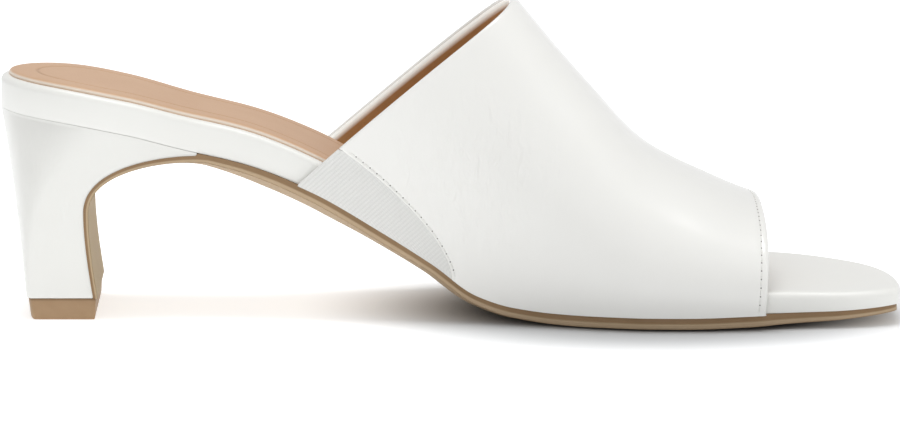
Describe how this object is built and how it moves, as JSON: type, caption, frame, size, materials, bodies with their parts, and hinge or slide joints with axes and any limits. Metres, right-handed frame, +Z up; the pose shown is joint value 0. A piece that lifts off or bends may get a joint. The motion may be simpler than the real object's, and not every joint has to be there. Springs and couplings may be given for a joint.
{
  "type": "mule shoe",
  "caption": "Left open-toe mule with one wide vamp, an elastic side panel, a wrapped footbed, a thin cambered sole and a slab heel.",
  "frame": {"origin": "centre of the heel tip's floor face", "axes": "+X from heel to toe, +Y from the medial to the lateral side, +Z up; the shoe stands on Z = 0"},
  "size_m": [0.24, 0.089, 0.084],
  "materials": {
    "sole": "smooth, satin",
    "heel_cover": "smooth, glossy",
    "top_piece": "satin",
    "footbed_cover": "smooth, glossy",
    "sock": "matt, fine grain",
    "vamp": "smooth, pearly",
    "elastic": "ribbed weave"
  },
  "bodies": {
    "root": {"outsole": "sole", "heel": "heel_cover", "top_piece": "top_piece", "footbed": "footbed_cover", "sock": "sock", "upper": "vamp", "gore": "elastic"}
  },
  "joints": []
}
